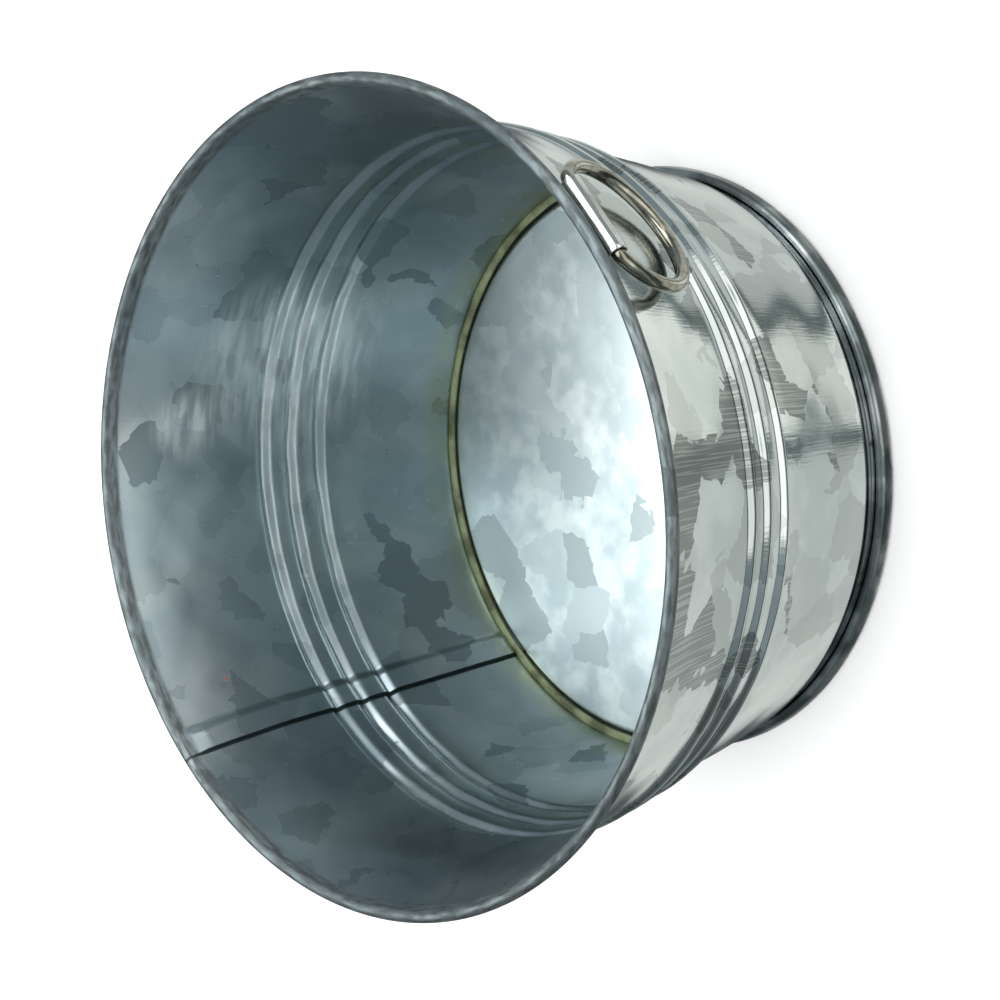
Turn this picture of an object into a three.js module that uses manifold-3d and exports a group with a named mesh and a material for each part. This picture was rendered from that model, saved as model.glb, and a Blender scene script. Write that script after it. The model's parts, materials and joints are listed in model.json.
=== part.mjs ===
// Small florist bucket in galvanised sheet: a flared, beaded wall with a wired rim, a seamed-on
// bottom pan, and a free-swinging D-ring in a rolled sleeve on each side.
// Units are millimetres, +Z is up and the origin is the centre of the foot's resting plane.

import * as THREE from "three";
import { mergeVertices } from "three/addons/utils/BufferGeometryUtils.js";
import Module from "manifold-3d";

// ---- Driving dimensions ----

const HEIGHT = 72.2;                // foot plane to the top of the rim
const RIM_RADIUS = 70;              // outside of the rim curl
const FOOT_RADIUS = 50.1;           // outside of the foot bead, and of the wall just above it
const SHEET = 0.4;                  // sheet thickness of the wall and the pan

const RIM_WIRE_DIAMETER = 1.2;
const RIM_WIRE_PLAY = 0.1;          // radial room between the rim wire and the curl round it
const RIM_CURL_END = -125;          // angle in degrees at which the curl's lip stops, under the rim

const CONE_BOTTOM_Z = 7.6;          // where the neck under the wall begins
const CONE_SLOPE = 0.26;            // growth of the wall's radius per unit of height
const FLARE_START_Z = 46;           // where the straight cone gives way to the flared lip
const FLARE_SLOPE = 0.235;          // slope of the wall at the start of the flare

const BEAD_HEIGHTS = [33.5, 38.95, 43.85];
const BEAD_WIDTH = 3.2;
const BEAD_RISE = 0.9;

const FLOOR_Z = 8.5;                // top of the floor above the foot plane
const FLOOR_CORNER = 0.8;           // bend from the floor into the pan's skirt
const FOOT_BEAD_HEIGHT = 3.4;
const NECK_DEPTH = 1.4;             // how far the neck pulls in from the foot bead
const NECK_TOP_Z = 4.4;             // where the neck runs straight down into the seam
const SEAM_PLAY = 0.4;              // room between the folded layers of the bottom seam
const HOOK_RADIUS = 0.5;            // bend of the wall's edge inside the foot bead
const HOOK_LENGTH = 0.3;
const FOOT_INNER_CORNER = 0.5;
const FOOT_OUTER_CORNER = 1;

const SEAL_PLAY = 0.1;              // gap that keeps the sealing bead clear of wall and pan

const SIDE_SEAM_WIDTH = 6.2;
const SIDE_SEAM_RISE = 0.6;         // how far the folded layers stand into the bucket
const SIDE_SEAM_ANGLE = 180;        // degrees round from the front ring

const RING_WIRE_DIAMETER = 2.4;
const RING_RADIUS = 12.45;          // bow of the ring, to the middle of its wire
const RING_LEG_HALF = 8.3;          // half of the straight leg, to the middle of its end bends
const RING_BEND = 1.3;              // bend between the leg and the bow
const RING_BUTT_GAP = 0.4;          // gap between the wire's ends, halfway along the leg
const RING_STANDOFF = 0.7;          // gap left between the leaning ring and the wall

const SLEEVE_LENGTH = 15.2;
const SLEEVE_SHEET = 0.35;
const SLEEVE_BORE_PLAY = 0.2;       // radial running room of the ring's leg
const SLEEVE_STANDOFF = 0.3;        // room between the sleeve and the wall, and the rim curl
const SLEEVE_SLIT = 50;             // degrees left open at the back of the rolled sleeve

// ---- Facet counts ----

const TURNS = 48;                   // facets round every turned piece
const BEAD_FACETS = 4;
const CURL_FACETS = 8;
const NECK_FACETS = 4;
const FLARE_FACETS = 4;
const BEND_FACETS = 3;
const RIM_WIRE_SIDES = 8;
const RING_WIRE_SIDES = 8;
const RING_STEPS = 60;
const SLEEVE_SIDES = 14;

// ---- Derived sizes ----

const HALF_SHEET = SHEET / 2;
const CURL_INNER = RIM_WIRE_DIAMETER / 2 + RIM_WIRE_PLAY;
const CURL_RADIUS = CURL_INNER + HALF_SHEET;
const CURL_OUTER = CURL_INNER + SHEET;
const CURL_CENTRE = new THREE.Vector2(RIM_RADIUS - CURL_OUTER, HEIGHT - CURL_OUTER);
const NECK_RADIUS = FOOT_RADIUS - NECK_DEPTH - HALF_SHEET;
const SKIRT_RADIUS = NECK_RADIUS - SHEET - SEAM_PLAY / 2;
const SLEEVE_OUTER = RING_WIRE_DIAMETER / 2 + SLEEVE_BORE_PLAY + SLEEVE_SHEET;
const RING_DROP = Math.sqrt(RING_RADIUS ** 2 - RING_LEG_HALF ** 2);

const MERGE_TOLERANCE = 1e-4;      // vertices closer than this are one vertex

const wasm = await Module();
wasm.setup();

// ---- Solids ----

/** Turn a three.js geometry into a solid, once its shared vertices are merged. */
function toSolid(geometry) {
  const bare = geometry.clone();
  bare.deleteAttribute("normal");
  bare.deleteAttribute("uv");
  const merged = mergeVertices(bare, MERGE_TOLERANCE);
  const triVerts = new Uint32Array(merged.index.array);
  const vertProperties = new Float32Array(merged.attributes.position.array);
  return new wasm.Manifold(new wasm.Mesh({ numProp: 3, vertProperties, triVerts }));
}

/** Turn a solid back into a three.js geometry. */
function toGeometry(solid) {
  const mesh = solid.getMesh();
  const geometry = new THREE.BufferGeometry();
  geometry.setAttribute("position", new THREE.BufferAttribute(mesh.vertProperties, 3));
  geometry.setIndex(new THREE.BufferAttribute(mesh.triVerts, 1));
  geometry.computeVertexNormals();
  return geometry;
}

/** Revolve an anticlockwise section, given as radius and height, round the Z axis. */
function turned(section) {
  return new THREE.LatheGeometry(section, TURNS).rotateX(Math.PI / 2);
}

/** Points on a circular arc, without its first point. */
function arcPoints(centre, radius, fromDegrees, toDegrees, facets) {
  return Array.from({ length: facets }, (_, i) => {
    const share = (i + 1) / facets;
    const angle = THREE.MathUtils.degToRad(THREE.MathUtils.lerp(fromDegrees, toDegrees, share));
    return new THREE.Vector2(Math.cos(angle), Math.sin(angle)).multiplyScalar(radius).add(centre);
  });
}

/** Unit normal on the right-hand side of a polyline at one of its points. */
function rightNormal(line, i) {
  const before = line[Math.max(i - 1, 0)];
  const after = line[Math.min(i + 1, line.length - 1)];
  const along = after.clone().sub(before).normalize();
  return new THREE.Vector2(along.y, -along.x);
}

/** Both faces of a sheet that follows a centre line: out along its right side, back along its left. */
function sheetFaces(line, thickness) {
  const shifted = (side) => line.map((point, i) => {
    return point.clone().addScaledVector(rightNormal(line, i), side * thickness / 2);
  });
  return [...shifted(1), ...shifted(-1).reverse()];
}

/** A section that closes on itself. */
function closed(section) {
  return [...section, section[0].clone()];
}

// ---- Wall ----

/** Radius of the wall's centre line without its beads: a straight cone, then a parabolic flare. */
function plainRadius(z) {
  const coneRadius = (height) => FOOT_RADIUS - HALF_SHEET + CONE_SLOPE * (height - CONE_BOTTOM_Z);
  if (z <= FLARE_START_Z) {
    return coneRadius(z);
  }
  const start = coneRadius(FLARE_START_Z);
  const rise = CURL_CENTRE.y - FLARE_START_Z;
  const reach = CURL_CENTRE.x - CURL_RADIUS - start;
  const bend = (reach - FLARE_SLOPE * rise) / rise ** 2;
  const t = z - FLARE_START_Z;
  return start + FLARE_SLOPE * t + bend * t ** 2;
}

/** Slope of the unbeaded wall, in radius per unit of height. */
function wallSlope(z) {
  const step = 0.01;
  return (plainRadius(z) - plainRadius(z - step)) / step;
}

/** Outward swell of the beads: one raised cosine for each. */
function beadRise(z) {
  const swell = (middle) => {
    const share = Math.abs(z - middle) / (BEAD_WIDTH / 2);
    return share < 1 ? BEAD_RISE * (1 + Math.cos(Math.PI * share)) / 2 : 0;
  };
  return Math.max(...BEAD_HEIGHTS.map(swell));
}

/** Point on the wall's centre line at a height. */
function wallPoint(z) {
  return new THREE.Vector2(plainRadius(z) + beadRise(z), z);
}

/** Heights at which the wall's outline needs a point, from the neck to the rim. */
function wallHeights() {
  const heights = [];
  for (const middle of BEAD_HEIGHTS) {
    for (let i = 0; i <= BEAD_FACETS; i += 1) {
      heights.push(middle + BEAD_WIDTH * (i / BEAD_FACETS - 0.5));
    }
  }
  const flareTop = CURL_CENTRE.y - CURL_RADIUS;
  const flareBottom = heights.at(-1);
  for (let i = 1; i <= FLARE_FACETS; i += 1) {
    heights.push(THREE.MathUtils.lerp(flareBottom, flareTop, i / FLARE_FACETS));
  }
  return heights;
}

/** The wall's hooked lower edge and neck, from inside the foot bead up to the cone. */
function neckLine() {
  const hookCentre = new THREE.Vector2(NECK_RADIUS + HOOK_RADIUS, FOOT_BEAD_HEIGHT / 2 + HOOK_RADIUS);
  const hookEdge = hookCentre.clone().add(new THREE.Vector2(HOOK_LENGTH, -HOOK_RADIUS));
  const hookStart = hookCentre.clone().add(new THREE.Vector2(0, -HOOK_RADIUS));
  const neckBottom = new THREE.Vector2(NECK_RADIUS, NECK_TOP_Z);
  const neckTop = wallPoint(CONE_BOTTOM_Z);
  const pull = (CONE_BOTTOM_Z - NECK_TOP_Z) / 2;
  const neck = new THREE.CubicBezierCurve(
    neckBottom,
    neckBottom.clone().add(new THREE.Vector2(0, pull)),
    neckTop.clone().add(new THREE.Vector2(-CONE_SLOPE * pull, -pull)),
    neckTop,
  );
  return [
    hookEdge,
    hookStart,
    ...arcPoints(hookCentre, HOOK_RADIUS, -90, -180, BEND_FACETS),
    ...neck.getPoints(NECK_FACETS),
  ];
}

/** The curl at the rim, from the top of the flare over and outwards to its lip. */
function curlLine() {
  return arcPoints(CURL_CENTRE, CURL_RADIUS, 180, RIM_CURL_END, CURL_FACETS);
}

/** Layers of the folded side seam, standing into the bucket over its whole height. */
function sideSeamBand() {
  const heights = [FLOOR_Z + SHEET, ...wallHeights()];
  const line = heights.map((z) => wallPoint(z));
  const inward = line.map((point, i) => {
    return point.clone().addScaledVector(rightNormal(line, i), -HALF_SHEET - SIDE_SEAM_RISE);
  });
  const ring = toSolid(turned(closed([...line, ...inward.reverse()])));
  const cutter = new THREE.BoxGeometry(RIM_RADIUS, SIDE_SEAM_WIDTH, 2 * HEIGHT);
  cutter.translate(RIM_RADIUS, 0, HEIGHT);
  cutter.rotateZ(THREE.MathUtils.degToRad(SIDE_SEAM_ANGLE));
  return ring.intersect(toSolid(cutter));
}

/** The wall: neck, cone, beads, flare and rim curl in one sheet, with its side seam. */
function bodyWall() {
  const line = [...neckLine(), ...wallHeights().map(wallPoint), ...curlLine()];
  const sheet = toSolid(turned(closed(sheetFaces(line, SHEET))));
  return toGeometry(sheet.add(sideSeamBand()));
}

/** The wire inside the rim curl. */
function rimWire() {
  const section = arcPoints(CURL_CENTRE, RIM_WIRE_DIAMETER / 2, 0, 360, RIM_WIRE_SIDES);
  return turned(closed(section));
}

// ---- Bottom ----

/** The pan: floor, skirt down inside the neck, and the hem that wraps the wall's edge. */
function bottomPan() {
  const floor = FLOOR_Z - HALF_SHEET;
  const low = HALF_SHEET;
  const high = FOOT_BEAD_HEIGHT - HALF_SHEET;
  const outside = FOOT_RADIUS - HALF_SHEET;
  const cornerCentre = new THREE.Vector2(SKIRT_RADIUS - FLOOR_CORNER, floor - FLOOR_CORNER);
  const innerCentre = new THREE.Vector2(SKIRT_RADIUS + FOOT_INNER_CORNER, low + FOOT_INNER_CORNER);
  const outerX = outside - FOOT_OUTER_CORNER;
  const lowerCentre = new THREE.Vector2(outerX, low + FOOT_OUTER_CORNER);
  const upperCentre = new THREE.Vector2(outerX, high - FOOT_OUTER_CORNER);
  const line = [
    new THREE.Vector2(0, floor),
    new THREE.Vector2(cornerCentre.x, floor),
    ...arcPoints(cornerCentre, FLOOR_CORNER, 90, 0, BEND_FACETS),
    new THREE.Vector2(SKIRT_RADIUS, innerCentre.y),
    ...arcPoints(innerCentre, FOOT_INNER_CORNER, 180, 270, BEND_FACETS),
    new THREE.Vector2(outerX, low),
    ...arcPoints(lowerCentre, FOOT_OUTER_CORNER, -90, 0, BEND_FACETS),
    new THREE.Vector2(outside, upperCentre.y),
    ...arcPoints(upperCentre, FOOT_OUTER_CORNER, 0, 90, BEND_FACETS),
  ];
  return turned(sheetFaces(line, SHEET));
}

/** The bead of sealing compound in the corner between the floor and the wall. */
function bottomSeal() {
  const top = FLOOR_Z;
  const bottom = CONE_BOTTOM_Z;
  const inside = SKIRT_RADIUS + HALF_SHEET + SEAL_PLAY;
  const outside = (z) => plainRadius(z) - HALF_SHEET - SEAL_PLAY;
  const section = [
    new THREE.Vector2(inside, bottom),
    new THREE.Vector2(outside(bottom), bottom),
    new THREE.Vector2(outside(top), top),
    new THREE.Vector2(inside, top),
  ];
  return turned(closed(section));
}

// ---- Rings and sleeves ----

/** Axis of a sleeve: one standoff clear of the wall's outside, and as high as the rim curl allows. */
function sleeveAxis() {
  const reach = SLEEVE_OUTER + SLEEVE_STANDOFF;
  const beside = (z) => {
    const slope = wallSlope(z);
    const outward = new THREE.Vector2(1, -slope).normalize();
    return wallPoint(z).addScaledVector(outward, HALF_SHEET + reach);
  };
  const step = 0.05;
  let height = HEIGHT;
  let axis = beside(height);
  while (axis.distanceTo(CURL_CENTRE) < CURL_OUTER + reach && height > FLARE_START_Z) {
    height -= step;
    axis = beside(height);
  }
  return axis;
}

/** Degrees that the ring leans in from plumb: as far as the wall and its beads leave room for. */
function ringLean(axis) {
  const heights = Array.from({ length: Math.ceil(HEIGHT - NECK_TOP_Z) }, (_, i) => NECK_TOP_Z + i);
  const wall = [...heights, ...wallHeights()].map(wallPoint);
  const room = HALF_SHEET + RING_WIRE_DIAMETER / 2 + RING_STANDOFF;
  const gap = (degrees) => {
    const angle = THREE.MathUtils.degToRad(degrees);
    const reach = new THREE.Vector2(-Math.sin(angle), -Math.cos(angle));
    const farWire = axis.clone().addScaledVector(reach, RING_DROP + RING_RADIUS);
    return Math.min(...wall.map((point) => point.distanceTo(farWire)));
  };
  const step = 0.1;
  let lean = -90;
  while (gap(lean + step) > room) {
    lean += step;
  }
  return lean;
}

/** Outline of the ring in its own plane: along its leg, and down away from it. */
function ringOutline() {
  const centre = new THREE.Vector2(0, RING_DROP);
  const turn = Math.asin(RING_LEG_HALF / RING_RADIUS);
  const setback = RING_BEND * Math.tan(turn / 2);
  const legEnd = RING_LEG_HALF - setback;
  const bowStart = -Math.PI / 2 + turn + setback / RING_RADIUS;
  const path = new THREE.Path();
  path.moveTo(RING_BUTT_GAP / 2, 0);
  path.lineTo(legEnd, 0);
  path.quadraticCurveTo(
    RING_LEG_HALF,
    0,
    RING_RADIUS * Math.cos(bowStart),
    centre.y + RING_RADIUS * Math.sin(bowStart),
  );
  path.absarc(0, centre.y, RING_RADIUS, bowStart, Math.PI - bowStart, false);
  path.quadraticCurveTo(-RING_LEG_HALF, 0, -legEnd, 0);
  path.lineTo(-RING_BUTT_GAP / 2, 0);
  return path;
}

/** The D-ring: round wire bent along its outline, hanging plumb from the origin along Y. */
function dRing() {
  const route = ringOutline().getSpacedPoints(RING_STEPS);
  const curve = new THREE.CatmullRomCurve3(route.map((p) => new THREE.Vector3(0, p.x, -p.y)));
  const section = new THREE.Shape(
    arcPoints(new THREE.Vector2(), RING_WIRE_DIAMETER / 2, 0, 360, RING_WIRE_SIDES),
  );
  return new THREE.ExtrudeGeometry(section, { steps: RING_STEPS, extrudePath: curve });
}

/** The sleeve: a strip rolled round the ring's leg, with its slit towards the wall. */
function rolledSleeve() {
  const middle = SLEEVE_OUTER - SLEEVE_SHEET / 2;
  const edge = SLEEVE_SLIT / 2;
  const origin = new THREE.Vector2();
  const start = arcPoints(origin, middle, 180 + edge, 180 + edge, 1);
  const strip = arcPoints(origin, middle, 180 + edge, 540 - edge, SLEEVE_SIDES);
  const section = new THREE.Shape(sheetFaces([...start, ...strip], SLEEVE_SHEET));
  const tube = new THREE.ExtrudeGeometry(section, { depth: SLEEVE_LENGTH, bevelEnabled: false });
  return tube.translate(0, 0, -SLEEVE_LENGTH / 2).rotateX(Math.PI / 2);
}

// ---- Materials ----

/** Spangled zinc coat on the sheet. */
function zincSheet(color) {
  return new THREE.MeshStandardMaterial({ color, roughness: 0.35, metalness: 1 });
}

/** Bright drawn steel wire. */
function brightWire() {
  return new THREE.MeshStandardMaterial({ color: 0x9a9890, roughness: 0.22, metalness: 1 });
}

/** Nickel-bright strip of the sleeves. */
function brightStrip() {
  return new THREE.MeshStandardMaterial({ color: 0xd8dad8, roughness: 0.15, metalness: 1 });
}

/** Olive-grey sealing compound. */
function sealingCompound() {
  return new THREE.MeshStandardMaterial({ color: 0x7f8c72, roughness: 0.7, metalness: 0 });
}

// ---- Assembly ----

/** A named mesh. */
function piece(name, geometry, material) {
  const mesh = new THREE.Mesh(geometry, material);
  mesh.name = name;
  return mesh;
}

/** One sleeve with its ring, placed at an angle round the bucket. */
function handle(side, angle) {
  const axis = sleeveAxis();
  const group = new THREE.Group();
  group.rotation.z = THREE.MathUtils.degToRad(angle);
  const ring = piece(`${side}_ring`, dRing(), brightWire());
  ring.rotation.y = THREE.MathUtils.degToRad(ringLean(axis));
  const sleeve = piece(`${side}_sleeve`, rolledSleeve(), brightStrip());
  for (const mesh of [sleeve, ring]) {
    mesh.position.set(axis.x, 0, axis.y);
    group.add(mesh);
  }
  return group;
}

const bucket = new THREE.Group();
bucket.add(piece("body_wall", bodyWall(), zincSheet(0xb4bcbc)));
bucket.add(piece("rim_wire", rimWire(), brightWire()));
bucket.add(piece("bottom_pan", bottomPan(), zincSheet(0xc6cccc)));
bucket.add(piece("bottom_seal", bottomSeal(), sealingCompound()));
bucket.add(handle("front", 0));
bucket.add(handle("seam_side", SIDE_SEAM_ANGLE));

export default bucket;
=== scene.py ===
"""Small florist bucket in spangled galvanised sheet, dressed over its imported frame.

The wall, the pan, the sealing bead, the rim wire and the two handles are each worked out again as a fine
surface in numpy, in the places that the frame gives, and dressed in procedural finishes. Sizes inside the
classes are in millimetres; meshes are in metres, in the frame's own axes.
"""

import json
import logging
import math
from dataclasses import dataclass
from enum import Enum

import bpy
import numpy as np
from mathutils import Matrix, Vector

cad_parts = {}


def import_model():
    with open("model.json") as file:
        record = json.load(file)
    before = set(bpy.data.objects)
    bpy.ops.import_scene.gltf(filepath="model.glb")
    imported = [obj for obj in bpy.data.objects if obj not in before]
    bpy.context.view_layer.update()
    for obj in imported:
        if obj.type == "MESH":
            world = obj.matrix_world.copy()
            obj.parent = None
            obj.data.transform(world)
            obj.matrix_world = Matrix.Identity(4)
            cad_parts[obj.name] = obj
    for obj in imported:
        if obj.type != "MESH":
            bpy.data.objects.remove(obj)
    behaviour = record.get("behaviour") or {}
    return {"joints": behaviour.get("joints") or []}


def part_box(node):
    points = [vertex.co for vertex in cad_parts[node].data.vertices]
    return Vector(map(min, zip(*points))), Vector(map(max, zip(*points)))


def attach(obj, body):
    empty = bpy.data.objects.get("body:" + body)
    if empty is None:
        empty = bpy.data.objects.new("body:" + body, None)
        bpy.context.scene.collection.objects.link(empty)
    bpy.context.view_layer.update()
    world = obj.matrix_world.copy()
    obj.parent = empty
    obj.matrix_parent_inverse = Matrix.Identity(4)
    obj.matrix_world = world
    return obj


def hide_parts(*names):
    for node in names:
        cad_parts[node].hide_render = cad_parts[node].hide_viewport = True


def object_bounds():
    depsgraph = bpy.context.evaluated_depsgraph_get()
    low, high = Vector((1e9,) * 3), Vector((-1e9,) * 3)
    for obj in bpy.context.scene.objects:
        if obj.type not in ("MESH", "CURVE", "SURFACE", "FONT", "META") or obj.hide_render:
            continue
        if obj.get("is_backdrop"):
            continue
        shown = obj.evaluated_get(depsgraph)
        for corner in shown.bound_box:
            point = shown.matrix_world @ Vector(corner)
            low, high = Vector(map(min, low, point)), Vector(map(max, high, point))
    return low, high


log = logging.getLogger("florist_bucket")

Array = np.ndarray
Colour = tuple[float, float, float, float]
Place = tuple[float, float, float]
Pair = tuple[float, float]
Wave = tuple[float, float, float, float]
Link = bpy.types.Node | bpy.types.NodeSocket

MM = 0.001
SHEET_MAP = "sheet"                 # UV map of unrolled sheet, in millimetres
INSIDE_OFFSET = 500.0               # shift in millimetres of the inside face's map, so the two faces differ
INSIDE_FROM = 400.0                 # map points beyond this lie on the inside face
SMOOTH = {"interpolation_type": "SMOOTHSTEP"}
OUT_OF_STEP = 2.3                   # ratio of the phases of a swell's two cosines


# ---- Numbers and curves ----

def linear(hex_colour: str) -> Colour:
    """Turn an sRGB hex colour into linear light.

    Args:
        hex_colour: colour such as "#a0b0c0".

    Returns:
        Linear red, green, blue and an alpha of one.
    """
    share = np.array([int(hex_colour[i:i + 2], 16) for i in (1, 3, 5)]) / 255
    light = np.where(share <= 0.04045, share / 12.92, ((share + 0.055) / 1.055) ** 2.4)
    return (float(light[0]), float(light[1]), float(light[2]), 1.0)


def smooth_step(value: Array, start: float, stop: float) -> Array:
    """Ease from 0 at start to 1 at stop: 3t squared less 2t cubed, with t the share of the way.

    Args:
        value: numbers to ease.
        start: value that gives 0.
        stop: value that gives 1.

    Returns:
        Eased numbers, from 0 to 1.
    """
    t = np.clip((value - start) / (stop - start), 0, 1)
    return t * t * (3 - 2 * t)


def arc(centre: Pair, radius: float, start: float, stop: float, steps: int) -> Array:
    """Points on a circular arc: centre plus radius times cosine and sine of an even run of angles.

    Args:
        centre: middle of the arc.
        radius: its radius.
        start: first angle in degrees, whose point is left out.
        stop: last angle in degrees.
        steps: number of points.

    Returns:
        Points, one in each row.
    """
    angle = np.radians(np.linspace(start, stop, steps + 1)[1:])
    return np.array(centre) + radius * np.column_stack([np.cos(angle), np.sin(angle)])


def right_normals(line: Array) -> Array:
    """Unit normals on the right-hand side of a line: its central differences turned a quarter clockwise.

    Args:
        line: points in a plane.

    Returns:
        One unit normal for each point.
    """
    along = np.gradient(line, axis=0)
    along /= np.linalg.norm(along, axis=1)[:, None]
    return np.column_stack([along[:, 1], -along[:, 0]])


def run_length(line: Array) -> Array:
    """Distance along a line at each of its points: the running sum of its steps.

    Args:
        line: points, one in each row.

    Returns:
        Distances from the first point.
    """
    steps = np.linalg.norm(np.diff(line, axis=0), axis=1)
    return np.concatenate([[0.0], np.cumsum(steps)])


def ripple(first: Array, second: Array, waves: tuple[Wave, ...]) -> Array:
    """Low, uneven swell of hand-worked sheet: a sum of products of two cosines.

    Args:
        first: one coordinate of the surface.
        second: the other coordinate.
        waves: for each wave its height, its rate along each coordinate, and its phase.

    Returns:
        Height of the swell.
    """
    height = np.zeros(np.broadcast(first, second).shape)
    for rise, rate_first, rate_second, phase in waves:
        crossing = np.cos(rate_second * second + OUT_OF_STEP * phase)
        height = height + rise * np.cos(rate_first * first + phase) * crossing
    return height


# ---- Meshes ----

@dataclass
class Grid:
    """A surface given on a grid of two parameters.

    The places are in millimetres and run rows by columns. Following the columns and then the rows, the
    surface faces towards the first direction crossed with the second.
    """

    places: Array
    sheet_map: Array | None = None      # rows + 1 by columns + 1 map points, in millimetres
    wrap_rows: bool = True
    wrap_columns: bool = True

    def quads(self) -> tuple[Array, Array]:
        """Work out the corners of every square of the grid.

        Returns:
            Vertex numbers and map point numbers, four for each square.
        """
        rows, columns = self.places.shape[:2]
        i = np.arange(rows if self.wrap_rows else rows - 1)[:, None]
        j = np.arange(columns if self.wrap_columns else columns - 1)[None, :]
        corners = ((0, 0), (0, 1), (1, 1), (1, 0))
        vertices = [((i + a) % rows) * columns + (j + b) % columns for a, b in corners]
        points = [(i + a) * (columns + 1) + (j + b) for a, b in corners]
        return (np.stack(vertices, -1).reshape(-1, 4), np.stack(points, -1).reshape(-1, 4))

    def caps(self) -> list[Array]:
        """Close what doesn't wrap.

        Returns:
            One many-sided face for each open end.
        """
        rows, columns = self.places.shape[:2]
        ends = []
        if not self.wrap_columns:
            ends.append(np.arange(rows) * columns)
            ends.append(np.arange(rows)[::-1] * columns + columns - 1)
        if not self.wrap_rows:
            ends.append(np.arange(columns)[::-1])
            ends.append(np.arange(columns) + (rows - 1) * columns)
        return ends

    def build(self, name: str) -> bpy.types.Object:
        """Make the grid a smooth mesh object at the origin.

        Args:
            name: name of the piece.

        Returns:
            The new object, linked to the scene.
        """
        squares, points = self.quads()
        faces = [*squares, *self.caps()]
        sizes = np.array([len(face) for face in faces], dtype=np.int32)
        corners = np.concatenate(faces).astype(np.int32)
        mesh = bpy.data.meshes.new(name)
        places = self.places.reshape(-1, 3) * MM
        mesh.vertices.add(len(places))
        mesh.vertices.foreach_set("co", places.astype(np.float32).ravel())
        mesh.loops.add(len(corners))
        mesh.loops.foreach_set("vertex_index", corners)
        mesh.polygons.add(len(faces))
        mesh.polygons.foreach_set("loop_start", np.concatenate([[0], np.cumsum(sizes)[:-1]]).astype(np.int32))
        mesh.update(calc_edges=True)
        if self.sheet_map is not None:
            layer = mesh.uv_layers.new(name=SHEET_MAP)
            uv = np.zeros((len(corners), 2), dtype=np.float32)
            uv[:points.size] = self.sheet_map.reshape(-1, 2)[points.ravel()]
            layer.uv.foreach_set("vector", uv.ravel())
        mesh.shade_smooth()
        mesh.validate()
        piece = bpy.data.objects.new(name, mesh)
        bpy.context.scene.collection.objects.link(piece)
        return piece


def sheet_loop(line: Array, thickness: float) -> Array:
    """Closed section of a sheet that follows a centre line: out along its right side, back along its left.

    Args:
        line: centre line as radius and height.
        thickness: sheet thickness.

    Returns:
        The section's points, anticlockwise.
    """
    shift = right_normals(line) * thickness / 2
    return np.vstack([line + shift, (line - shift)[::-1]])


def revolve(section: Array, angles: Array) -> Array:
    """Carry a section round the Z axis: x is radius times cosine, y radius times sine, z the height.

    Args:
        section: rows by 2, or rows by columns by 2, of radius and height.
        angles: angle of each column, or of each row and column, in radians.

    Returns:
        Rows by columns by 3 places.
    """
    if section.ndim == 2:
        section = section[:, None, :]
    radius, height, turn = np.broadcast_arrays(section[..., 0], section[..., 1], angles)
    return np.stack([radius * np.cos(turn), radius * np.sin(turn), height], -1)


# ---- Node graphs ----

def add(tree: bpy.types.NodeTree, kind: str, settings: dict | None = None,
        inputs: dict | None = None) -> bpy.types.Node:
    """Add a node with its settings and links.

    Args:
        tree: node tree that takes the node.
        kind: Blender's name for the node type.
        settings: node properties and their values.
        inputs: input sockets by name or number, each with a value, with the output that feeds it, or with
            the node whose first output feeds it.

    Returns:
        The new node.
    """
    node = tree.nodes.new(kind)
    for key, value in (settings or {}).items():
        setattr(node, key, value)
    for key, value in (inputs or {}).items():
        if isinstance(value, bpy.types.Node):
            value = value.outputs[0]
        if isinstance(value, bpy.types.NodeSocket):
            tree.links.new(value, node.inputs[key])
        else:
            node.inputs[key].default_value = value
    return node


class Mix:
    """Socket numbers of the Mix node in its colour and vector forms."""

    FACTOR = 0
    VECTOR_A = 4
    VECTOR_B = 5
    COLOUR_A = 6
    COLOUR_B = 7
    VECTOR_OUT = 1
    COLOUR_OUT = 2


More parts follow.
